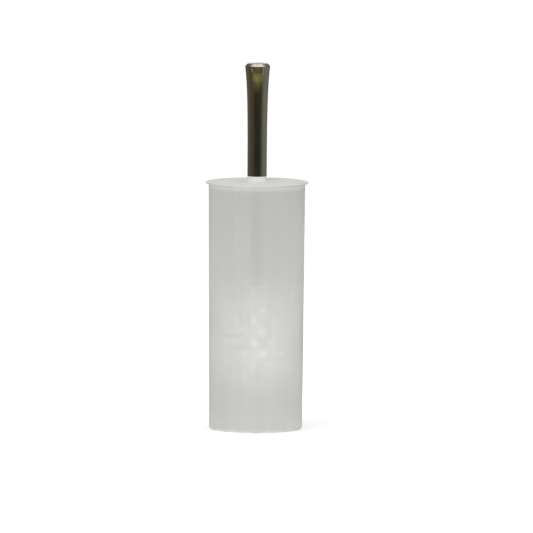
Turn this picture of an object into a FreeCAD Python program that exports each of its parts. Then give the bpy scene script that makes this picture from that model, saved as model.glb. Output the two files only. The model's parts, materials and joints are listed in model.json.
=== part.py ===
"""A toilet brush standing in a tall frosted tumbler.

The tumbler is one thin moulding on four small pads. A flanged lid rests on its rim and carries
the brush: a flared steel handle above, a rod through the lid's hub, and a tufted head that hangs
clear of the tumbler's floor. The lid turns freely on the rod and lifts out with the brush.

Millimetres, +Z up. The origin is the centre of the circle that the pads stand on.
"""

import FreeCAD, Part
import math
import os

V = FreeCAD.Vector
UP = V(0, 0, 1)

# Driving dimensions
TOTAL_HEIGHT = 371.3
RIM_HEIGHT = 249.5  # top of the tumbler's wall, where the lid rests
RIM_RADIUS = 48.6  # outside, at the rim
BASE_RADIUS = 46.9  # outside, at the foot: the wall has a moulding draft
WALL = 2.0
LID_RADIUS = 51.8
HUB_RADIUS = 9.9
ROD_RADIUS = 6.0
HANDLE_RADIUS = 9.7  # at its lower end
FLARE_RADIUS = 12.65  # at its mouth
HEAD_RADIUS = 39.5  # to the tips of the bristles
CORE_RADIUS = 15.0
ROWS = 6
TUFTS_PER_ROW = 12
ROW_PITCH = 11.1
FIRST_ROW_Z = 69.5

# Tumbler and its pads
PAD_PROUD = 0.7
PAD_RADIUS = 5.0
PAD_CIRCLE = 36.0
PADS = 4
PAD_RECESS = 1.0
FLOOR = 3.2
FOOT_FILLET = 3.0
INNER_FILLET = 4.0
UNDERSIDE_RADIUS = 27.0  # the raised middle of the underside
UNDERSIDE_RISE = 1.2
PAD_SEAT_GAP = 0.2
PAD_EDGE = 0.3

# Lid
FLANGE = 1.5
FLANGE_ROUND = 0.7
FLANGE_LAND = 2.0  # flat width at the flange's edge, outside the crown
CROWN = 0.7  # how far the lid's top rises from the flange to the hub
PLATE = 2.2
SKIRT_GAP = 0.4
SKIRT_WALL = 1.6
SKIRT_DEPTH = 3.2
RIBS = 6
RIB_WIDTH = 1.4
RIB_BITE = 0.5  # how far a rib runs into the hub, skirt and plate
HUB_TOP = RIM_HEIGHT + 5.2
HUB_BOTTOM = RIM_HEIGHT - 7.5
HUB_ROOT_FILLET = 1.5
HUB_EDGE_ROUND = 0.6
BUSH_RADIUS = 7.5
BUSH_FLANGE = 1.2
BUSH_FLANGE_RADIUS = 9.2
RUNNING_GAP = 0.06  # radial, between the rod and the bush
WASHER = 0.5
WASHER_GAP = 0.2  # radial, round the rod
END_PLAY = 0.1

# Handle
TUBE_WALL = 1.1
LIP = 1.4  # the plug's lip under the tube
PLUG_LENGTH = 30.0
PLUG_BORE_GAP = 0.2
SHOULDER_DEPTH = 5.0  # how far the rod's full diameter enters the plug
THREAD_RADIUS = 4.0
THREAD_GAP = 0.05
THREAD_SPARE = 2.5  # how far each thread runs past its nut or bush
THREAD_CHAMFER = 0.8
STEEL_WASHER = 1.6
STEEL_WASHER_RADIUS = 7.8
NUT_ACROSS_FLATS = 13.0
NUT_HEIGHT = 6.5
NUT_CHAMFER = 1.0
FLARE_REACH = 24.0  # the height in which the flare falls to about a third
FLARE_POINTS = 6
SEAM_Z = TOTAL_HEIGHT - 3.4  # where the cap meets the tube's mouth
CAP_RIM = 0.3  # height of the cap's plain edge
CAP_FACE_RADIUS = 10.0  # inside the cap's bevel
CAP_FACE_RISE = 0.5
CAP_SET_IN = 0.05  # how far the cap's rim stands inside the tube's
CAP_ROOF = 1.2  # depth of the cap's hollow below the seam
CAP_FIT = 0.1
CAP_PLUG_DEPTH = 9.0
CAP_PLUG_WALL = 1.3
CAP_BARBS = 2

# Rod's retaining ring
RING = 1.0
RING_RADIUS = 8.6
GROOVE_RADIUS = 5.4
RING_MOUTH = 50.0  # degrees left open
RETAINING_WASHER_RADIUS = 10.0

# Head
CORE_TOP_ABOVE_LAST_ROW = 6.5
NECK_RADIUS = 9.0
NECK_HEIGHT = 9.0
SHOULDER_CONE = 5.0
INSERT_RADIUS = 6.2
INSERT_LENGTH = 16.0
INSERT_GROOVE = (0.6, 1.2)  # depth and width of a grip groove
SOCKET_GAP = 0.5
HOLE_RADIUS = 2.1
HOLE_DEPTH = 6.5
TUFT_ROOT_RADIUS = 2.0
TUFT_TIP_RADIUS = 4.3
TUFT_CROWN = 0.8
FRONT_TUFT_DEG = -80.0  # bearing of the first tuft in the second, fourth and sixth rows
LOWER_RING = {"count": 8, "dip_deg": 26.0, "reach": 37.0}
END_RING = {"count": 5, "dip_deg": 60.0, "reach": 30.0}
STAPLE = (3.7, 0.35, 1.6)  # length across the hole, thickness, depth along the tuft
STAPLE_GAP = 0.2

# Worked out from the above
TUMBLER_FOOT = PAD_PROUD
INNER_RIM_RADIUS = RIM_RADIUS - WALL
INNER_BASE_RADIUS = BASE_RADIUS - WALL
BUSH_BOTTOM = HUB_BOTTOM - BUSH_FLANGE
RETAINING_WASHER_TOP = BUSH_BOTTOM - END_PLAY
RETAINING_RING_TOP = RETAINING_WASHER_TOP - RING
PLUG_BOTTOM = HUB_TOP + WASHER + END_PLAY
TUBE_BOTTOM = PLUG_BOTTOM + LIP
PLUG_TOP = PLUG_BOTTOM + PLUG_LENGTH
ROD_SHOULDER = PLUG_BOTTOM + SHOULDER_DEPTH
NUT_BOTTOM = PLUG_TOP + STEEL_WASHER
CORE_CENTRE_Z = FIRST_ROW_Z - 3.0  # centre of the core's round end
CORE_TOP = FIRST_ROW_Z + (ROWS - 1) * ROW_PITCH + CORE_TOP_ABOVE_LAST_ROW
NECK_TOP = CORE_TOP + SHOULDER_CONE + NECK_HEIGHT


# Shape helpers
def line(a, b):
    """A straight edge between two (radius, height) points of a lathe outline."""
    return Part.LineSegment(V(a[0], 0, a[1]), V(b[0], 0, b[1])).toShape()


def crown(a, b):
    """A circular edge from a to b with its centre on the axis, so that it turns into part of a ball."""
    centre = (a[0] ** 2 + a[1] ** 2 - b[0] ** 2 - b[1] ** 2) / (2 * (a[1] - b[1]))
    radius = math.hypot(a[0], a[1] - centre)
    bearings = [math.atan2(z - centre, r) for r, z in (a, b)]
    halfway = sum(bearings) / 2
    middle = (radius * math.cos(halfway), centre + radius * math.sin(halfway))
    return Part.Arc(V(a[0], 0, a[1]), V(middle[0], 0, middle[1]), V(b[0], 0, b[1])).toShape()


def curve(points):
    """A smooth edge through (radius, height) points."""
    spline = Part.BSplineCurve()
    spline.interpolate([V(r, 0, z) for r, z in points])
    return spline.toShape()


def turned(edges):
    """The solid made by turning a closed outline about the Z axis."""
    face = Part.Face(Part.Wire(edges))
    return Part.makeSolid(face.revolve(V(0, 0, 0), UP, 360).Shells[0])


def lathe(points):
    """The solid turned from a closed outline of straight edges."""
    return turned([line(a, b) for a, b in zip(points, points[1:] + points[:1])])


def ring(inner, outer, bottom, height):
    """A plain flat or tall ring about Z."""
    return lathe([(inner, bottom), (outer, bottom), (outer, bottom + height), (inner, bottom + height)])


def disc(radius, bottom, height):
    return Part.makeCylinder(radius, height, V(0, 0, bottom))


def rounded(shape, radius, places):
    """Fillets the full circles of shape at each (radius, height) in places."""
    picked = [
        edge
        for edge in shape.Edges
        if isinstance(edge.Curve, Part.Circle)
        and any(
            abs(edge.Curve.Radius - r) < 1e-3 and abs(edge.Curve.Center.z - z) < 1e-3
            for r, z in places
        )
    ]
    return shape.makeFillet(radius, picked)


def around(shape, count):
    """count copies of shape, spread evenly about Z."""
    copies = []
    for i in range(count):
        copy = shape.copy()
        copy.rotate(V(0, 0, 0), UP, 360.0 * i / count)
        copies.append(copy)
    return copies


def hexagon(across_flats, bottom, height):
    corner = across_flats / math.sqrt(3)
    points = [
        V(corner * math.cos(math.radians(60 * i)), corner * math.sin(math.radians(60 * i)), bottom)
        for i in range(7)
    ]
    return Part.Face(Part.makePolygon(points)).extrude(V(0, 0, height))


# Holder
def holder_tumbler():
    """The tapered wall and closed floor, with a raised underside and a shallow seat for each pad."""
    foot = TUMBLER_FOOT
    floor_top = foot + FLOOR + UNDERSIDE_RISE
    body = lathe([
        (0, foot + UNDERSIDE_RISE),
        (UNDERSIDE_RADIUS, foot + UNDERSIDE_RISE),
        (UNDERSIDE_RADIUS, foot),
        (BASE_RADIUS, foot),
        (RIM_RADIUS, RIM_HEIGHT),
        (INNER_RIM_RADIUS, RIM_HEIGHT),
        (INNER_BASE_RADIUS, floor_top),
        (0, floor_top),
    ])
    body = rounded(body, FOOT_FILLET, [(BASE_RADIUS, foot)])
    body = rounded(body, INNER_FILLET, [(INNER_BASE_RADIUS, floor_top)])
    body = rounded(body, WALL / 4, [(RIM_RADIUS, RIM_HEIGHT), (INNER_RIM_RADIUS, RIM_HEIGHT)])
    seat = Part.makeCylinder(PAD_RADIUS + PAD_SEAT_GAP, PAD_RECESS, V(PAD_CIRCLE, 0, foot))
    return body.cut(Part.makeCompound(around(seat, PADS)))


def foot_pads():
    """Soft bumpers that stand a little proud of the underside."""
    top = TUMBLER_FOOT + PAD_RECESS
    pad = Part.makeCylinder(PAD_RADIUS, top, V(PAD_CIRCLE, 0, 0))
    lower_edge = [e for e in pad.Edges if abs(e.CenterOfMass.z) < 1e-6]
    return Part.makeCompound(around(pad.makeFillet(PAD_EDGE, lower_edge), PADS))


# Lid
def lid():
    """Crowned disc with an overhanging flange, a short locating skirt, ribs and a hub."""
    skirt_outer = INNER_RIM_RADIUS - SKIRT_GAP
    skirt_inner = skirt_outer - SKIRT_WALL
    skirt_bottom = RIM_HEIGHT - SKIRT_DEPTH
    flange_top = RIM_HEIGHT + FLANGE
    crown_top = flange_top + CROWN
    crown_edge = LID_RADIUS - FLANGE_LAND
    under = crown_top - PLATE
    profile = [
        line((BUSH_RADIUS, HUB_BOTTOM), (HUB_RADIUS, HUB_BOTTOM)),
        line((HUB_RADIUS, HUB_BOTTOM), (HUB_RADIUS, under)),
        line((HUB_RADIUS, under), (skirt_inner, under)),
        line((skirt_inner, under), (skirt_inner, skirt_bottom)),
        line((skirt_inner, skirt_bottom), (skirt_outer, skirt_bottom)),
        line((skirt_outer, skirt_bottom), (skirt_outer, RIM_HEIGHT)),
        line((skirt_outer, RIM_HEIGHT), (LID_RADIUS, RIM_HEIGHT)),
        line((LID_RADIUS, RIM_HEIGHT), (LID_RADIUS, flange_top)),
        line((LID_RADIUS, flange_top), (crown_edge, flange_top)),
        crown((crown_edge, flange_top), (HUB_RADIUS, crown_top)),
        line((HUB_RADIUS, crown_top), (HUB_RADIUS, HUB_TOP)),
        line((HUB_RADIUS, HUB_TOP), (BUSH_RADIUS, HUB_TOP)),
        line((BUSH_RADIUS, HUB_TOP), (BUSH_RADIUS, HUB_BOTTOM)),
    ]
    body = turned(profile)
    body = rounded(body, FLANGE_ROUND, [(LID_RADIUS, RIM_HEIGHT), (LID_RADIUS, flange_top)])
    body = rounded(body, HUB_ROOT_FILLET, [(HUB_RADIUS, crown_top)])
    body = rounded(body, HUB_EDGE_ROUND, [(HUB_RADIUS, HUB_TOP)])
    rib = Part.makeBox(
        skirt_inner - HUB_RADIUS + 2 * RIB_BITE,
        RIB_WIDTH,
        under - skirt_bottom + RIB_BITE,
        V(HUB_RADIUS - RIB_BITE, -RIB_WIDTH / 2, skirt_bottom),
    )
    return body.fuse(around(rib, RIBS)).removeSplitter()


def lid_bush():
    """Plain bearing pressed into the hub, with its flange under the hub."""
    bore = ROD_RADIUS + RUNNING_GAP
    return lathe([
        (bore, BUSH_BOTTOM),
        (BUSH_FLANGE_RADIUS, BUSH_BOTTOM),
        (BUSH_FLANGE_RADIUS, HUB_BOTTOM),
        (BUSH_RADIUS, HUB_BOTTOM),
        (BUSH_RADIUS, HUB_TOP),
        (bore, HUB_TOP),
    ])


def hub_washer():
    """Thin slip washer on top of the hub, under the handle."""
    return ring(ROD_RADIUS + WASHER_GAP, HUB_RADIUS - 2 * WASHER_GAP, HUB_TOP, WASHER)


# Handle and rod
def flare_radius(z):
    """Outside radius of the handle: a plain tube that opens smoothly into the mouth."""
    opening = FLARE_RADIUS - HANDLE_RADIUS
    return HANDLE_RADIUS + opening * math.exp((z - SEAM_Z) / FLARE_REACH)


def handle_tube():
    """Thin tube whose wall opens into a mouth at the top."""
    heights = [
        TUBE_BOTTOM + (SEAM_Z - TUBE_BOTTOM) * math.sin(math.pi / 2 * i / (FLARE_POINTS - 1))
        for i in range(FLARE_POINTS)
    ]
    outside = [(flare_radius(z), z) for z in heights]
    inside = [(r - TUBE_WALL, z) for r, z in outside]
    return turned([
        curve(outside),
        line(outside[-1], inside[-1]),
        curve(inside[::-1]),
        line(inside[0], outside[0]),
    ])


def handle_cap():
    """Bevelled cap that closes the mouth, with a slightly domed face and a barbed plug inside the tube."""
    plug_radius = flare_radius(SEAM_Z - CAP_PLUG_DEPTH) - TUBE_WALL - CAP_FIT
    inner = plug_radius - CAP_PLUG_WALL
    rim = FLARE_RADIUS - CAP_SET_IN
    plug_bottom = SEAM_Z - CAP_PLUG_DEPTH
    bevel_foot = (rim, SEAM_Z + CAP_RIM)
    face_edge = (CAP_FACE_RADIUS, TOTAL_HEIGHT - CAP_FACE_RISE)
    roof = SEAM_Z - CAP_ROOF
    shell = turned([
        line((0, roof), (inner, roof)),
        line((inner, roof), (inner, plug_bottom)),
        line((inner, plug_bottom), (plug_radius, plug_bottom)),
        line((plug_radius, plug_bottom), (plug_radius, SEAM_Z)),
        line((plug_radius, SEAM_Z), (rim, SEAM_Z)),
        line((rim, SEAM_Z), bevel_foot),
        line(bevel_foot, face_edge),
        crown(face_edge, (0, TOTAL_HEIGHT)),
        line((0, TOTAL_HEIGHT), (0, roof)),
    ])
    pitch = CAP_PLUG_DEPTH / (CAP_BARBS + 1)
    height = pitch / 3
    root = (inner + plug_radius) / 2
    barbs = []
    for i in range(CAP_BARBS):
        z = plug_bottom + pitch * (i + 0.6)
        tip = flare_radius(z) - TUBE_WALL - CAP_FIT / 2
        barbs.append(lathe([(root, z), (plug_radius, z), (tip, z + height), (root, z + height)]))
    return shell.fuse(barbs).removeSplitter()


def handle_plug():
    """Insert in the tube's lower end, with a lip that the tube stands on."""
    hole = THREAD_RADIUS + PLUG_BORE_GAP
    bore = ROD_RADIUS + THREAD_GAP
    body = flare_radius(TUBE_BOTTOM) - TUBE_WALL - CAP_FIT / 2
    return lathe([
        (bore, PLUG_BOTTOM),
        (HANDLE_RADIUS, PLUG_BOTTOM),
        (HANDLE_RADIUS, TUBE_BOTTOM),
        (body, TUBE_BOTTOM),
        (body, PLUG_TOP),
        (hole, PLUG_TOP),
        (hole, ROD_SHOULDER),
        (bore, ROD_SHOULDER),
    ])


def shaft_rod():
    """Steel rod with a reduced thread at each end and a groove under the lid."""
    thread_top = NUT_BOTTOM + NUT_HEIGHT + THREAD_SPARE
    thread_bottom = NECK_TOP - INSERT_LENGTH - THREAD_SPARE
    thread_nose = THREAD_RADIUS - THREAD_CHAMFER
    groove_top = RETAINING_RING_TOP
    groove_bottom = RETAINING_RING_TOP - RING
    return lathe([
        (0, thread_bottom),
        (thread_nose, thread_bottom),
        (THREAD_RADIUS, thread_bottom + THREAD_CHAMFER),
        (THREAD_RADIUS, NECK_TOP),
        (ROD_RADIUS, NECK_TOP),
        (ROD_RADIUS, groove_bottom),
        (GROOVE_RADIUS, groove_bottom),
        (GROOVE_RADIUS, groove_top),
        (ROD_RADIUS, groove_top),
        (ROD_RADIUS, ROD_SHOULDER),
        (THREAD_RADIUS, ROD_SHOULDER),
        (THREAD_RADIUS, thread_top - THREAD_CHAMFER),
        (thread_nose, thread_top),
        (0, thread_top),
    ])


def retaining_ring():
    """Open spring ring in the rod's groove."""
    whole = ring(GROOVE_RADIUS, RING_RADIUS, RETAINING_RING_TOP - RING, RING)
    far = 2 * RING_RADIUS
    half = math.radians(RING_MOUTH / 2)
    mouth = [
        V(0, 0, 0),
        V(far * math.sin(-half), far * math.cos(half), 0),
        V(far * math.sin(half), far * math.cos(half), 0),
        V(0, 0, 0),
    ]
    wedge = Part.Face(Part.makePolygon(mouth)).extrude(V(0, 0, TOTAL_HEIGHT))
    return whole.cut(wedge)


def retaining_washer():
    """Washer between the retaining ring and the lid's bush."""
    return ring(ROD_RADIUS + WASHER_GAP, RETAINING_WASHER_RADIUS, RETAINING_RING_TOP, RING)


def plug_washer():
    return ring(THREAD_RADIUS + PLUG_BORE_GAP, STEEL_WASHER_RADIUS, PLUG_TOP, STEEL_WASHER)


def plug_nut():
    """Hexagon nut that draws the rod's shoulder up against the plug."""
    blank = hexagon(NUT_ACROSS_FLATS, NUT_BOTTOM, NUT_HEIGHT)
    corner = NUT_ACROSS_FLATS / math.sqrt(3)
    top = NUT_BOTTOM + NUT_HEIGHT
    turned_blank = lathe([
        (0, NUT_BOTTOM),
        (corner, NUT_BOTTOM),
        (corner, top - NUT_CHAMFER / 2),
        (corner - NUT_CHAMFER, top),
        (0, top),
    ])
    hole = disc(THREAD_RADIUS + THREAD_GAP, NUT_BOTTOM - 1, NUT_HEIGHT + 2)
    return blank.common(turned_blank).cut(hole)


# Head
def head_core():
    """Round-ended core with a neck for the rod and a blind hole for each tuft."""
    bottom = CORE_CENTRE_Z - CORE_RADIUS
    bore = INSERT_RADIUS + THREAD_GAP
    socket = NECK_TOP - INSERT_LENGTH
    tip_hole = THREAD_RADIUS + SOCKET_GAP
    tip_bottom = socket - THREAD_SPARE - 1.0
    neck_foot = CORE_TOP + SHOULDER_CONE
    blank = turned([
        line((0, tip_bottom), (0, bottom)),
        crown((0, bottom), (CORE_RADIUS, CORE_CENTRE_Z)),
        line((CORE_RADIUS, CORE_CENTRE_Z), (CORE_RADIUS, CORE_TOP)),
        line((CORE_RADIUS, CORE_TOP), (NECK_RADIUS, neck_foot)),
        line((NECK_RADIUS, neck_foot), (NECK_RADIUS, NECK_TOP)),
        line((NECK_RADIUS, NECK_TOP), (bore, NECK_TOP)),
        line((bore, NECK_TOP), (bore, socket)),
        line((bore, socket), (tip_hole, socket)),
        line((tip_hole, socket), (tip_hole, tip_bottom)),
        line((tip_hole, tip_bottom), (0, tip_bottom)),
    ])
    holes = [hole for places in all_tufts().values() for hole in tuft_holes(places)]
    return blank.cut(Part.makeCompound(holes))


def head_insert():
    """Threaded metal bush moulded into the core's neck, with two grip grooves."""
    bottom = NECK_TOP - INSERT_LENGTH
    depth, width = INSERT_GROOVE
    body = ring(THREAD_RADIUS + THREAD_GAP, INSERT_RADIUS, bottom, INSERT_LENGTH)
    for share in (0.3, 0.7):
        cutter = ring(INSERT_RADIUS - depth, INSERT_RADIUS + 1, bottom + share * INSERT_LENGTH, width)
        body = body.cut(cutter)
    return body


def row_places(row):
    """(foot, direction, length) of each tuft in a level row; alternate rows are half a step round."""
    step = 360.0 / TUFTS_PER_ROW
    start = FRONT_TUFT_DEG + (0.5 * step if row % 2 == 0 else 0.0)
    z = FIRST_ROW_Z + row * ROW_PITCH
    return ring_places(TUFTS_PER_ROW, start, 0.0, HEAD_RADIUS, z)


def ring_places(count, start_deg, dip_deg, reach, centre_z):
    """(foot, direction, length) for a ring of tufts that dip below level, out to reach from the centre."""
    dip = math.radians(dip_deg)
    places = []
    for i in range(count):
        bearing = math.radians(start_deg + 360.0 * i / count)
        direction = V(
            math.cos(bearing) * math.cos(dip),
            math.sin(bearing) * math.cos(dip),
            -math.sin(dip),
        )
        foot = V(0, 0, centre_z) + direction * (CORE_RADIUS - HOLE_DEPTH)
        places.append((foot, direction, reach - CORE_RADIUS + HOLE_DEPTH))
    return places


def all_tufts():
    """Every ring of tufts by node name."""
    rings = {f"bristle_row_{row + 1}": row_places(row) for row in range(ROWS)}
    for name, spec in (("bristle_ring_lower", LOWER_RING), ("bristle_ring_end", END_RING)):
        rings[name] = ring_places(
            spec["count"], FRONT_TUFT_DEG, spec["dip_deg"], spec["reach"], CORE_CENTRE_Z
        )
    return rings


def tuft_holes(places):
    """The blind holes that one ring of tufts sits in."""
    return [
        Part.makeCylinder(HOLE_RADIUS, HOLE_DEPTH + 2, foot, direction)
        for foot, direction, _ in places
    ]


def placed(shape, foot, direction):
    """shape, made along +Z from the origin, moved to foot and turned to direction."""
    copy = shape.copy()
    copy.Placement = FreeCAD.Placement(foot, FreeCAD.Rotation(UP, direction))
    return copy


def staple_blank():
    length, thickness, depth = STAPLE
    return Part.makeBox(length, thickness, depth, V(-length / 2, -thickness / 2, STAPLE_GAP))


def tufts(places):
    """One ring of tufts, each splayed from its hole to a slightly domed end and slotted for its staple."""
    reach = places[0][2]
    edge = (TUFT_TIP_RADIUS, reach - TUFT_CROWN)
    whole = turned([
        line((0, 0), (TUFT_ROOT_RADIUS, 0)),
        line((TUFT_ROOT_RADIUS, 0), (TUFT_ROOT_RADIUS, HOLE_DEPTH)),
        line((TUFT_ROOT_RADIUS, HOLE_DEPTH), edge),
        crown(edge, (0, reach)),
        line((0, reach), (0, 0)),
    ])
    length, thickness, depth = STAPLE
    slot_width = thickness + STAPLE_GAP
    slot_depth = depth + 2 * STAPLE_GAP
    slot = Part.makeBox(2 * length, slot_width, slot_depth, V(-length, -slot_width / 2, 0))
    tuft = whole.cut(slot)
    return Part.makeCompound([placed(tuft, foot, direction) for foot, direction, _ in places])


def tuft_staples():
    """The flat wire anchor that pins each tuft in its hole."""
    blank = staple_blank()
    return Part.makeCompound([
        placed(blank, foot, direction)
        for places in all_tufts().values()
        for foot, direction, _ in places
    ])


def sub_parts():
    """Every node of the assembly by name."""
    parts = {
        "holder_tumbler": holder_tumbler(),
        "foot_pads": foot_pads(),
        "lid": lid(),
        "lid_bush": lid_bush(),
        "hub_washer": hub_washer(),
        "handle_tube": handle_tube(),
        "handle_cap": handle_cap(),
        "handle_plug": handle_plug(),
        "shaft_rod": shaft_rod(),
        "retaining_ring": retaining_ring(),
        "retaining_washer": retaining_washer(),
        "plug_washer": plug_washer(),
        "plug_nut": plug_nut(),
        "head_core": head_core(),
        "head_insert": head_insert(),
        "tuft_staples": tuft_staples(),
    }
    for name, places in all_tufts().items():
        parts[name] = tufts(places)
    return parts


def main():
    os.makedirs("parts", exist_ok=True)
    for name, shape in sub_parts().items():
        shape.exportStep(f"parts/{name}.step")
        print(name, "solids", len(shape.Solids), "valid", shape.isValid(), "volume", round(shape.Volume, 1))


main()
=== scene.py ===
import json
import math
import random

import bpy
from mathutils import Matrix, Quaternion, Vector

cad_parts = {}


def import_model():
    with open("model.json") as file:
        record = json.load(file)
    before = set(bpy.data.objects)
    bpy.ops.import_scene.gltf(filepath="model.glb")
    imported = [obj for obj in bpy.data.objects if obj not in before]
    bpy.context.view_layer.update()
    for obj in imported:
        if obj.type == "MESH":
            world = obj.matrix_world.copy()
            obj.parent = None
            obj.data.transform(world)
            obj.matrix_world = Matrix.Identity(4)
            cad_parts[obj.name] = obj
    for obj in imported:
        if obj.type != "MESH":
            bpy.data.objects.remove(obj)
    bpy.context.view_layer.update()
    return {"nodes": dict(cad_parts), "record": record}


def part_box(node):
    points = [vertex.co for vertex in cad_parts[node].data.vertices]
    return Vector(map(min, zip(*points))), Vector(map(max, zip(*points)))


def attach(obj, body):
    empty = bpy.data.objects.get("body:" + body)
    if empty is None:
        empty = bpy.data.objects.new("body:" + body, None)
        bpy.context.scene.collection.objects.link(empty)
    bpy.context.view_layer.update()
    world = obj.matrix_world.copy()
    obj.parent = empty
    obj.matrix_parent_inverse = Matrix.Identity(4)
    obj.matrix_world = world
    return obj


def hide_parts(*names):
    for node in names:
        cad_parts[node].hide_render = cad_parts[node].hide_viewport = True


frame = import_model()


DISPLAY_MAX = 255
DISPLAY_GAMMA = 2.2


def linear(r, g, b):
    """The shader colour for display values from 0 to 255."""
    return tuple((c / DISPLAY_MAX) ** DISPLAY_GAMMA for c in (r, g, b)) + (1.0,)


def off_white(level):
    """The shader colour for one display value, with a trace less blue."""
    return linear(level, level, level - 1)


def grey(shade):
    """A neutral shader colour."""
    return (shade, shade, shade, 1)


# Lengths are metres and angles are degrees unless a name says otherwise.

# Brush head, as its holes are drilled
CORE_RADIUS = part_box("head_core")[1].x
CORE_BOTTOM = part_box("head_core")[0].z
HEAD_REACH = 0.0395
ROWS = 6
TUFTS_PER_ROW = 12
FRONT_BEARING = -80.0  # of a row's first tuft, from +X; the front is at -90
LOWER_RING = {"node": "bristle_ring_lower", "count": 8, "dip": 26.0, "reach": 0.037}
END_RING = {"node": "bristle_ring_end", "count": 5, "dip": 60.0, "reach": 0.030}
FILAMENTS_PER_TUFT = 90
FILAMENT_RADIUS = 0.00025
FILAMENT_SIDES = 4
FILAMENT_STATIONS = 5
TUFT_ROOT_RADIUS = 0.0017
TUFT_TIP_RADIUS = 0.0041
ROOT_DEPTH = 0.0015  # how far below the hole's mouth the visible filaments start
UNEVEN_TIPS = 0.0006  # how much shorter than the rest a filament can be
WANDER = 0.00022  # how far a filament's middle strays, as a standard deviation
NUDGE = 0.15  # radians round the tuft
SPREAD = (0.93, 1.05)  # of a filament's place across the tuft
BEND_PLACE = 0.45  # share of the way from root to tip
BEND_SPLAY = 1.35  # how far apart the filaments are at the bend, against the root
PACKED_SHARE = 0.82  # of the tuft's radius
PACKED_SIDES = 10
PACKED_BELOW_TIPS = 0.001

# Camera: a very long lens, because the object shows no perspective
CAMERA_DISTANCE = 20.0
CAMERA_ELEVATION = 5.3
CAMERA_ROLL = 0.35
VIEW_WIDTH = 0.538  # how much of the world is across the frame at the object
VIEW_CENTRE = Vector((0.0101, 0.0, 0.1651))
SENSOR = 36.0  # millimetres
CLIP_START = 1.0
CLIP_END = 200.0

# Frosted wall
WALL_SCATTER = 0.5  # share of the light that it spreads every way
WALL_ROUGHNESS = 0.5
WALL_UNEVENNESS = 0.03  # how far the roughness strays from that
WALL_FLOW_SHADE = 0.96  # the dark side of the faint flow lines
# Painted light and shade on the frosted wall, by height: lighter at the foot and round the brush head,
# darker higher up, and a painted light band just under the lid
WALL_PAINTED_LIGHT_AND_SHADE = [  # share of the height, display value
    (0.0, 240),
    (0.03, 237),
    (0.055, 235),
    (0.12, 230),
    (0.2, 231),
    (0.3, 234),
    (0.42, 233),
    (0.65, 227),
    (0.85, 226),
    (0.978, 227),
    (0.989, 244),
    (1.0, 244),
]

# Lid
# Painted shade along the thin edge of the flange
LID_PAINTED_SHADE_SPAN = (0.0505, 0.0517)  # distances from the axis where the darker edge begins and is full
LID_PAINTED_SHADE = 0.7  # share of the face's colour

# Grain
NOISE_RANGE = (0.3, 0.7)  # where most of a noise's values lie
SMOOTHER = 0.06  # how far a grain takes the roughness down
ROUGHER = 0.08  # and up

# Light, where 1 is the white of a picture
WHITE = 1.1  # what the camera sees past the object
FRONT_LIGHT = 10.0  # through the frosted plastic, from straight in front
EVEN_LIGHT = 0.7  # through the frosted plastic, from every side
BACK_SHARE = 0.15  # of the light from in front that also comes from behind
OPEN_FRONT_LIGHT = 0.4  # the same two for light that reaches a surface in the open
OPEN_EVEN_LIGHT = 1.35
CEILING_GAIN = 1.4  # how strongly STUDIO_HEIGHTS adds to STUDIO_BANDS
STUDIO_BANDS = [  # bearing from the front in degrees, display colour
    (-180, (80, 78, 68)),
    (-118, (130, 116, 100)),
    (-78, (84, 68, 54)),
    (-50, (95, 88, 78)),
    (-27, (34, 33, 29)),
    (-3, (60, 60, 51)),
    (20, (42, 42, 30)),
    (44, (68, 70, 50)),
    (72, (134, 134, 122)),
    (118, (142, 142, 132)),
    (180, (80, 78, 68)),
]
STUDIO_HEIGHTS = [  # upward part of the direction, display colour added to the bands
    (-1.0, (0, 0, 0)),
    (0.45, (20, 20, 19)),
    (0.8, (30, 30, 28)),
    (0.93, (246, 249, 255)),
]
STUDIO_PANELS = [  # bearing either side of the front, its reach, upward part, its reach, display colour
    (0.0, 85.0, -0.232, 0.042, (196, 182, 110)),  # warm strip
    (0.0, 80.0, -0.33, 0.075, (140, 116, 66)),  # its glow, lower down
    (59.0, 13.0, -0.272, 0.015, (255, 255, 250)),  # two small lamps
    (180.0, 12.0, 0.1, 0.25, (205, 205, 208)),  # window behind
]
SOFT_LIGHTS = [  # name, place, size, watts
    ("key", (-0.9, -1.4, 1.3), 0.8, 12.0),
    ("fill", (1.2, -1.0, 0.9), 0.9, 5.0),
]

# Floor
FLOOR_HALF_WIDTH = 60.0
FLOOR_SHADE = 0.93


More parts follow.
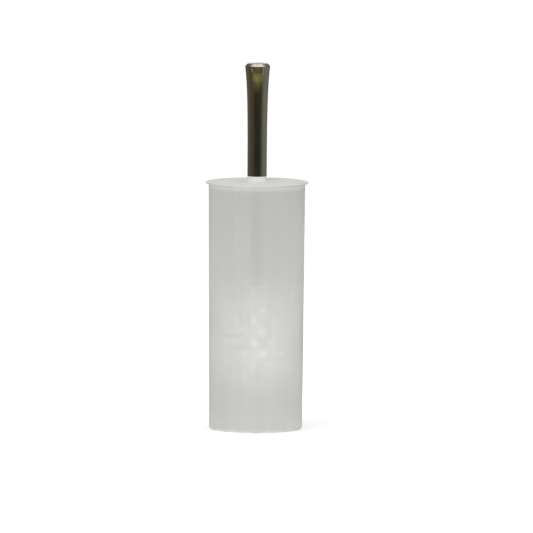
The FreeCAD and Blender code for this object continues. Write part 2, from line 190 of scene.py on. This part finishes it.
# Materials
class Surface:
    """A node material built round one Principled shader, in the object's own coordinates."""

    def __init__(self, name):
        self.material = bpy.data.materials.new(name)
        self.material.use_nodes = True
        self.nodes = self.material.node_tree.nodes
        self.links = self.material.node_tree.links
        self.shader = self.nodes["Principled BSDF"]
        self.output = self.nodes["Material Output"]
        self.place = self.nodes.new("ShaderNodeTexCoord").outputs["Object"]

    def set(self, **values):
        """Constant values for the shader's own inputs."""
        for name, value in values.items():
            self.shader.inputs[name.replace("_", " ").title().replace("Ior", "IOR")].default_value = value

    def stretched(self, z):
        """The coordinates with Z scaled, so that a pattern is drawn out along it."""
        mapping = self.nodes.new("ShaderNodeMapping")
        mapping.inputs["Scale"].default_value = (1, 1, z)
        self.links.new(self.place, mapping.inputs["Vector"])
        return mapping.outputs["Vector"]

    def noise(self, scale, detail=3.0, vector=None):
        """Noise over vector, or over the plain coordinates."""
        node = self.nodes.new("ShaderNodeTexNoise")
        node.inputs["Scale"].default_value = scale
        node.inputs["Detail"].default_value = detail
        self.links.new(vector or self.place, node.inputs["Vector"])
        return node.outputs["Fac"]

    def ramp(self, value, stops):
        """A linear run of colours over value; stops are (position, colour)."""
        node = self.nodes.new("ShaderNodeValToRGB")
        elements = node.color_ramp.elements
        while len(elements) < len(stops):
            elements.new(0.5)  # moved to its own place below
        for element, (position, colour) in zip(elements, stops):
            element.position = position
            element.color = colour
        self.links.new(value, node.inputs["Fac"])
        return node.outputs["Color"]

    def blend(self, noise, dark, light):
        """A run from dark to light over most of a noise's values."""
        return self.ramp(noise, list(zip(NOISE_RANGE, (dark, light))))

    def spread(self, value, low, high, source=NOISE_RANGE):
        """value mapped from source to low..high."""
        node = self.nodes.new("ShaderNodeMapRange")
        for name, number in zip(("From Min", "From Max", "To Min", "To Max"), (*source, low, high)):
            node.inputs[name].default_value = number
        self.links.new(value, node.inputs["Value"])
        return node.outputs["Result"]

    def colour(self, socket):
        self.links.new(socket, self.shader.inputs["Base Color"])

    def roughness(self, socket):
        self.links.new(socket, self.shader.inputs["Roughness"])

    def bump(self, height, distance):
        node = self.nodes.new("ShaderNodeBump")
        node.inputs["Distance"].default_value = distance
        self.links.new(height, node.inputs["Height"])
        self.links.new(node.outputs["Normal"], self.shader.inputs["Normal"])

    def axis(self, name):
        """One of the object's own coordinates, in metres."""
        split = self.nodes.new("ShaderNodeSeparateXYZ")
        self.links.new(self.place, split.inputs["Vector"])
        return split.outputs[name]

    def off_axis(self):
        """The distance from the Z axis, in metres."""
        length = self.nodes.new("ShaderNodeVectorMath")
        length.operation = "LENGTH"
        self.links.new(self.stretched(z=0), length.inputs[0])
        return length.outputs["Value"]

    def tinted(self, colour, tint):
        """The product of two colours."""
        mix = self.nodes.new("ShaderNodeMix")
        mix.data_type = "RGBA"
        mix.blend_type = "MULTIPLY"
        mix.inputs["Factor"].default_value = 1.0
        first, second = [socket for socket in mix.inputs if socket.type == "RGBA"]
        self.links.new(colour, first)
        self.links.new(tint, second)
        return next(socket for socket in mix.outputs if socket.type == "RGBA")

    def translucent(self, share, colour):
        """Mixes in light that soaks through from behind, in a colour or a colour socket."""
        behind = self.nodes.new("ShaderNodeBsdfTranslucent")
        if isinstance(colour, tuple):
            behind.inputs["Color"].default_value = colour
        else:
            self.links.new(colour, behind.inputs["Color"])
        mix = self.nodes.new("ShaderNodeMixShader")
        mix.inputs["Fac"].default_value = share
        self.links.new(self.shader.outputs["BSDF"], mix.inputs[1])
        self.links.new(behind.outputs["BSDF"], mix.inputs[2])
        self.links.new(mix.outputs["Shader"], self.output.inputs["Surface"])


def frosted_wall():
    """Etched translucent plastic with a satin coat, painted light and shade that run with height, and faint
    flow lines.
    """
    s = Surface("frosted_wall")
    height = s.spread(s.axis("Z"), 0.0, 1.0, source=(0.0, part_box("holder_tumbler")[1].z))
    # painted light and shade by height
    shade = s.ramp(height, [(share, off_white(level)) for share, level in WALL_PAINTED_LIGHT_AND_SHADE])
    flow = s.noise(scale=110.0, detail=4.0, vector=s.stretched(z=0.06))
    colour = s.tinted(shade, s.blend(flow, grey(WALL_FLOW_SHADE), grey(1)))
    s.colour(colour)
    cloud = s.noise(scale=400.0)
    s.roughness(s.spread(cloud, WALL_ROUGHNESS - WALL_UNEVENNESS, WALL_ROUGHNESS + WALL_UNEVENNESS))
    s.bump(s.noise(scale=1500.0, detail=2.0), distance=0.00001)
    s.set(transmission_weight=0.9, ior=1.1, coat_weight=1.0, coat_roughness=0.2, coat_ior=1.5)
    s.translucent(WALL_SCATTER, colour)
    return s.material


def lid_plastic():
    """Pale satin plastic that lets a little light through, with painted shade along the thin edge of the
    flange.
    """
    s = Surface("lid_plastic")
    face = s.blend(s.noise(scale=90.0), off_white(228), off_white(236))
    # painted shade, darker towards the flange's edge
    edge = s.spread(s.off_axis(), 0.0, 1.0, source=LID_PAINTED_SHADE_SPAN)
    s.colour(s.tinted(face, s.ramp(edge, [(0.0, grey(1)), (1.0, grey(LID_PAINTED_SHADE))])))
    s.roughness(s.spread(s.noise(scale=500.0), low=0.30, high=0.42))
    s.bump(s.noise(scale=1800.0, detail=2.0), distance=0.00003)
    s.set(transmission_weight=0.15, ior=1.4)
    s.translucent(share=0.25, colour=linear(208, 208, 206))
    return s.material


def chrome():
    """Polished metal with fine drawing lines along the tube and faint handling smears."""
    s = Surface("chrome")
    lines = s.noise(scale=900.0, vector=s.stretched(z=0.02))
    s.colour(s.blend(lines, dark=(0.46, 0.44, 0.39, 1), light=(0.54, 0.53, 0.49, 1)))
    smears = s.noise(scale=70.0, detail=5.0)
    s.roughness(s.spread(smears, low=0.07, high=0.15))
    s.bump(lines, distance=0.00001)
    s.set(metallic=1.0)
    return s.material


def steel(name, shade, roughness, grain):
    """Bare steel with a fine grain along Z, a little warmer where it is light."""
    s = Surface(name)
    lines = s.noise(scale=grain, vector=s.stretched(z=0.03))
    dark = tuple(shade * c for c in (0.9, 0.9, 0.91)) + (1,)
    light = tuple(shade * c for c in (1.08, 1.07, 1.06)) + (1,)
    s.colour(s.blend(lines, dark, light))
    s.roughness(s.spread(lines, roughness - SMOOTHER, roughness + ROUGHER))
    s.bump(lines, distance=0.00001)
    s.set(metallic=1.0)
    return s.material


def brass():
    """Machined brass, slightly dulled."""
    s = Surface("insert_brass")
    dull = s.noise(scale=500.0, detail=4.0)
    s.colour(s.blend(dull, dark=(0.52, 0.37, 0.13, 1), light=(0.66, 0.5, 0.22, 1)))
    s.roughness(s.spread(dull, low=0.22, high=0.38))
    s.set(metallic=1.0)
    return s.material


def moulded(name, dark, light, roughness):
    """Opaque moulded plastic with a fine satin grain."""
    s = Surface(name)
    s.colour(s.blend(s.noise(scale=140.0), dark, light))
    s.roughness(s.spread(s.noise(scale=600.0), roughness - SMOOTHER, roughness + ROUGHER))
    s.bump(s.noise(scale=2200.0, detail=2.0), distance=0.00003)
    return s.material


def bristle():
    """White filaments, each a slightly different shade."""
    s = Surface("bristle")
    shade = s.nodes.new("ShaderNodeNewGeometry").outputs["Random Per Island"]
    s.colour(s.ramp(shade, [(0.0, off_white(247)), (1.0, off_white(254))]))
    s.roughness(s.spread(shade, low=0.32, high=0.45, source=(0.0, 1.0)))
    return s.material


FINISHES = {
    "frosted_wall": frosted_wall(),
    "lid_plastic": lid_plastic(),
    "chrome": chrome(),
    "rod_steel": steel("rod_steel", shade=0.38, roughness=0.3, grain=700.0),
    "spring_steel": steel("spring_steel", shade=0.45, roughness=0.34, grain=900.0),
    "insert_brass": brass(),
    "bearing_plastic": moulded(
        "bearing_plastic", linear(200, 200, 197), linear(210, 210, 207), roughness=0.4),
    "core_plastic": moulded("core_plastic", off_white(206), off_white(216), roughness=0.42),
    "pad_rubber": moulded("pad_rubber", linear(186, 189, 189), linear(202, 204, 204), roughness=0.6),
    "bristle": bristle(),
}


def finish_cad_nodes():
    """Gives each carried-over CAD node the finish of its material slot."""
    for part in frame["record"]["subparts"]:
        mesh = frame["nodes"][part["node"]].data
        for i in range(len(mesh.materials)):
            mesh.materials[i] = FINISHES[part["material_slot"]]


# Bristles
def sunflower(count, rng):
    """count points spread evenly over a unit disc, each nudged a little."""
    golden = math.pi * (3 - math.sqrt(5))
    points = []
    for i in range(count):
        radius = math.sqrt((i + 0.5) / count)
        angle = i * golden + rng.uniform(-NUDGE, NUDGE)
        points.append((radius * math.cos(angle), radius * math.sin(angle)))
    return points


def bend(start, middle, end, t):
    """The point at t on the curve from start towards middle and on to end."""
    return start * (1 - t) ** 2 + middle * 2 * t * (1 - t) + end * t * t


def close_tube(first, sides, stations, faces):
    """Faces for a tube of rings of vertices that starts at vertex first, with both ends closed."""
    for k in range(stations - 1):
        for j in range(sides):
            a = first + k * sides + j
            b = first + k * sides + (j + 1) % sides
            faces.append((a, b, b + sides, a + sides))
    last = first + (stations - 1) * sides
    faces.append(tuple(first + j for j in reversed(range(sides))))
    faces.append(tuple(last + j for j in range(sides)))


def filament(start, middle, end, vertices, faces):
    """Adds one closed filament that bends from start past middle to end."""
    first = len(vertices)
    side = (end - start).orthogonal().normalized()
    up = (end - start).normalized().cross(side)
    for k in range(FILAMENT_STATIONS):
        centre = bend(start, middle, end, k / (FILAMENT_STATIONS - 1))
        for j in range(FILAMENT_SIDES):
            angle = 2 * math.pi * j / FILAMENT_SIDES
            vertices.append(centre + FILAMENT_RADIUS * (side * math.cos(angle) + up * math.sin(angle)))
    close_tube(first, FILAMENT_SIDES, FILAMENT_STATIONS, faces)


def run_of(centre, direction, across, reach):
    """Start, middle and end of the run at across (1 at the tuft's edge), out to the head's round outline."""
    root_distance = CORE_RADIUS - ROOT_DEPTH
    tip_offset = across * TUFT_TIP_RADIUS
    along = math.sqrt(reach**2 - tip_offset.length_squared)
    start = centre + direction * root_distance + across * TUFT_ROOT_RADIUS
    bend_distance = (1 - BEND_PLACE) * root_distance + BEND_PLACE * along
    middle = centre + direction * bend_distance + across * TUFT_ROOT_RADIUS * BEND_SPLAY
    return start, middle, centre + direction * along + tip_offset


def packed_middle(centre, direction, side, up, reach, vertices, faces):
    """The inside of a tuft, where the filaments are too tightly packed to tell apart."""
    first = len(vertices)
    runs = []
    for j in range(PACKED_SIDES):
        angle = 2 * math.pi * j / PACKED_SIDES
        across = (side * math.cos(angle) + up * math.sin(angle)) * PACKED_SHARE
        runs.append(run_of(centre, direction, across, reach - PACKED_BELOW_TIPS))
    for k in range(FILAMENT_STATIONS):
        vertices.extend(bend(*run, k / (FILAMENT_STATIONS - 1)) for run in runs)
    close_tube(first, PACKED_SIDES, FILAMENT_STATIONS, faces)


def tuft(centre, direction, reach, rng, vertices, faces):
    """A splayed bundle from its hole in the core out to reach."""
    side = direction.orthogonal().normalized()
    up = direction.cross(side)
    packed_middle(centre, direction, side, up, reach, vertices, faces)
    for u, v in sunflower(FILAMENTS_PER_TUFT, rng):
        across = (side * u + up * v) * rng.uniform(*SPREAD)
        start, middle, end = run_of(centre, direction, across, reach - rng.uniform(0.0, UNEVEN_TIPS))
        wander = Vector([rng.gauss(0.0, WANDER) for _ in range(3)])
        filament(start, middle + wander, end, vertices, faces)


def ring_of_tufts(node, count, start_bearing, dip, reach, centre_z):
    """One ring of tufts as one piece, which stands for the CAD node of the same ring."""
    rng = random.Random(node)
    vertices = []
    faces = []
    for i in range(count):
        bearing = math.radians(start_bearing + 360.0 * i / count)
        level = math.cos(math.radians(dip))
        drop = math.sin(math.radians(dip))
        direction = Vector((math.cos(bearing) * level, math.sin(bearing) * level, -drop))
        tuft(Vector((0, 0, centre_z)), direction, reach, rng, vertices, faces)
    mesh = bpy.data.meshes.new(f"{node}_filaments")
    mesh.from_pydata(vertices, [], faces)
    mesh.polygons.foreach_set("use_smooth", [len(p.vertices) == 4 for p in mesh.polygons])
    mesh.materials.append(FINISHES["bristle"])
    piece = bpy.data.objects.new(f"{node}_filaments", mesh)
    bpy.context.scene.collection.objects.link(piece)
    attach(piece, "brush")
    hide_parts(node)


def brush_head():
    """The level rows, every other one half a step round, and the two rings that point down."""
    half_step = 180.0 / TUFTS_PER_ROW
    for row in range(ROWS):
        node = f"bristle_row_{row + 1}"
        low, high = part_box(node)
        start = FRONT_BEARING + (half_step if row % 2 == 0 else 0.0)
        ring_of_tufts(node, TUFTS_PER_ROW, start, 0.0, HEAD_REACH, (low.z + high.z) / 2)
    for ring in (LOWER_RING, END_RING):
        centre_z = CORE_BOTTOM + CORE_RADIUS
        ring_of_tufts(ring["node"], ring["count"], FRONT_BEARING, ring["dip"], ring["reach"], centre_z)


# Stage
def floor():
    """A plain pale floor, wide enough to fill every view and left out of the mirrors."""
    half = FLOOR_HALF_WIDTH
    mesh = bpy.data.meshes.new("floor")
    corners = [(-half, -half, 0), (half, -half, 0), (half, half, 0), (-half, half, 0)]
    mesh.from_pydata(corners, [], [(0, 1, 2, 3)])
    s = Surface("floor")
    s.set(base_color=grey(FLOOR_SHADE), roughness=0.9)
    mesh.materials.append(s.material)
    piece = bpy.data.objects.new("floor", mesh)
    bpy.context.scene.collection.objects.link(piece)
    piece.visible_glossy = False


def world():
    """White for the camera, soft light on surfaces in the open, stronger light from in front through
    the frosted plastic, and a dim studio with a few lights for the mirrors."""
    scene_world = bpy.data.worlds.new("studio")
    bpy.context.scene.world = scene_world
    scene_world.use_nodes = True
    tree = scene_world.node_tree
    nodes = tree.nodes
    links = tree.links
    split = nodes.new("ShaderNodeSeparateXYZ")
    links.new(nodes.new("ShaderNodeTexCoord").outputs["Generated"], split.inputs["Vector"])

    white = nodes["Background"]
    white.inputs["Color"].default_value = (1, 1, 1, 1)
    white.inputs["Strength"].default_value = WHITE
    opened = front_light(nodes, links, split, OPEN_FRONT_LIGHT, OPEN_EVEN_LIGHT)
    through = front_light(nodes, links, split, FRONT_LIGHT, EVEN_LIGHT)
    mirrored = nodes.new("ShaderNodeBackground")
    links.new(studio(tree, split), mirrored.inputs["Color"])

    path = nodes.new("ShaderNodeLightPath")
    soft = nodes.new("ShaderNodeMixShader")
    links.new(path.outputs["Is Transmission Ray"], soft.inputs["Fac"])
    links.new(opened, soft.inputs[1])
    links.new(through, soft.inputs[2])
    bounced = nodes.new("ShaderNodeMath")
    bounced.operation = "SUBTRACT"
    bounced.use_clamp = True
    links.new(path.outputs["Is Glossy Ray"], bounced.inputs[0])
    links.new(path.outputs["Is Transmission Ray"], bounced.inputs[1])
    lit = nodes.new("ShaderNodeMixShader")
    links.new(bounced.outputs["Value"], lit.inputs["Fac"])
    links.new(soft.outputs["Shader"], lit.inputs[1])
    links.new(mirrored.outputs["Background"], lit.inputs[2])
    shown = nodes.new("ShaderNodeMixShader")
    links.new(path.outputs["Is Camera Ray"], shown.inputs["Fac"])
    links.new(lit.outputs["Shader"], shown.inputs[1])
    links.new(white.outputs["Background"], shown.inputs[2])
    links.new(shown.outputs["Shader"], nodes["World Output"].inputs["Surface"])


def maths(nodes, links, operation, *values):
    """The result of one sum on numbers or sockets."""
    node = nodes.new("ShaderNodeMath")
    node.operation = operation
    for socket, value in zip(node.inputs, values):
        if isinstance(value, (int, float)):
            socket.default_value = value
        else:
            links.new(value, socket)
    return node.outputs["Value"]


def front_light(nodes, links, split, front, even):
    """Even light, light from in front that falls off as the square of the direction's forward part,
    and a share of it from behind."""
    backward = maths(nodes, links, "MAXIMUM", split.outputs["Y"], 0.0)
    forward = maths(nodes, links, "MAXIMUM", maths(nodes, links, "MULTIPLY", split.outputs["Y"], -1.0), 0.0)
    ahead = maths(nodes, links, "MULTIPLY", maths(nodes, links, "POWER", forward, 2.0), front)
    behind = maths(nodes, links, "MULTIPLY", maths(nodes, links, "POWER", backward, 2.0), front * BACK_SHARE)
    both = maths(nodes, links, "ADD", ahead, behind)
    light = nodes.new("ShaderNodeBackground")
    links.new(maths(nodes, links, "ADD", both, even), light.inputs["Strength"])
    return light.outputs["Background"]


def colour_run(nodes, links, value, low, high, stops):
    """A smooth run of display colours over value from low to high; stops are (value, (r, g, b))."""
    place = nodes.new("ShaderNodeMapRange")
    place.inputs["From Min"].default_value = low
    place.inputs["From Max"].default_value = high
    links.new(value, place.inputs["Value"])
    run = nodes.new("ShaderNodeValToRGB")
    run.color_ramp.interpolation = "B_SPLINE"
    elements = run.color_ramp.elements
    while len(elements) < len(stops):
        elements.new(0.5)  # moved to its own place below
    for element, (position, colour) in zip(elements, stops):
        element.position = (position - low) / (high - low)
        element.color = linear(*colour)
    links.new(place.outputs["Result"], run.inputs["Fac"])
    return run.outputs["Color"]


def added(nodes, links, first, second, weight):
    """first plus second times weight, which is a number or a socket."""
    scaled = nodes.new("ShaderNodeVectorMath")
    scaled.operation = "SCALE"
    if isinstance(second, tuple):
        scaled.inputs[0].default_value = second[:3]
    else:
        links.new(second, scaled.inputs[0])
    if isinstance(weight, float):
        scaled.inputs["Scale"].default_value = weight
    else:
        links.new(weight, scaled.inputs["Scale"])
    total = nodes.new("ShaderNodeVectorMath")
    links.new(first, total.inputs[0])
    links.new(scaled.outputs["Vector"], total.inputs[1])
    return total.outputs["Vector"]


def hump(nodes, links, value, centre, reach):
    """1 where value is at centre, falling smoothly to 0 at reach from it."""
    distance = maths(nodes, links, "ABSOLUTE", maths(nodes, links, "SUBTRACT", value, centre))
    node = nodes.new("ShaderNodeMapRange")
    node.interpolation_type = "SMOOTHERSTEP"
    for name, number in zip(("From Min", "From Max", "To Min", "To Max"), (0.0, reach, 1.0, 0.0)):
        node.inputs[name].default_value = number
    links.new(distance, node.inputs["Value"])
    return node.outputs["Result"]


def studio(tree, split):
    """What the mirrors see: dim bands by bearing, a bright ceiling and a few panels of light."""
    nodes = tree.nodes
    links = tree.links
    back = maths(nodes, links, "MULTIPLY", split.outputs["Y"], -1.0)
    bearing = maths(nodes, links, "DEGREES", maths(nodes, links, "ARCTAN2", split.outputs["X"], back))
    total = colour_run(nodes, links, bearing, -180.0, 180.0, STUDIO_BANDS)
    ceiling = colour_run(nodes, links, split.outputs["Z"], -1.0, 1.0, STUDIO_HEIGHTS)
    total = added(nodes, links, total, ceiling, CEILING_GAIN)
    off_front = maths(nodes, links, "ABSOLUTE", bearing)
    for middle, reach, height, height_reach, colour in STUDIO_PANELS:
        across = hump(nodes, links, off_front, middle, reach)
        up = hump(nodes, links, split.outputs["Z"], height, height_reach)
        total = added(nodes, links, total, linear(*colour), maths(nodes, links, "MULTIPLY", across, up))
    return total


def soft_light(name, place, size, watts):
    """A square soft box that faces the middle of the view, unseen by mirrors and through the plastic."""
    light = bpy.data.lights.new(name, "AREA")
    light.size = size
    light.energy = watts
    lamp = bpy.data.objects.new(name, light)
    lamp.location = place
    lamp.rotation_euler = (VIEW_CENTRE - Vector(place)).to_track_quat("-Z", "Y").to_euler()
    lamp.visible_glossy = False
    lamp.visible_transmission = False
    bpy.context.scene.collection.objects.link(lamp)


def camera():
    """The camera, far off in front, a little raised and rolled."""
    data = bpy.data.cameras.new("camera")
    data.sensor_width = SENSOR
    data.lens = SENSOR * CAMERA_DISTANCE / VIEW_WIDTH
    data.clip_start = CLIP_START
    data.clip_end = CLIP_END
    piece = bpy.data.objects.new("camera", data)
    tilt = math.radians(CAMERA_ELEVATION)
    back = Vector((0, -math.cos(tilt), math.sin(tilt)))
    piece.location = VIEW_CENTRE + back * CAMERA_DISTANCE
    piece.rotation_mode = "QUATERNION"
    roll = Quaternion((0, 0, 1), math.radians(CAMERA_ROLL))
    piece.rotation_quaternion = (-back).to_track_quat("-Z", "Y") @ roll
    bpy.context.scene.collection.objects.link(piece)
    bpy.context.scene.camera = piece


finish_cad_nodes()
brush_head()
floor()
world()
for name, place, size, watts in SOFT_LIGHTS:
    soft_light(name, place, size, watts)
camera()
bpy.context.scene.view_settings.view_transform = "Standard"
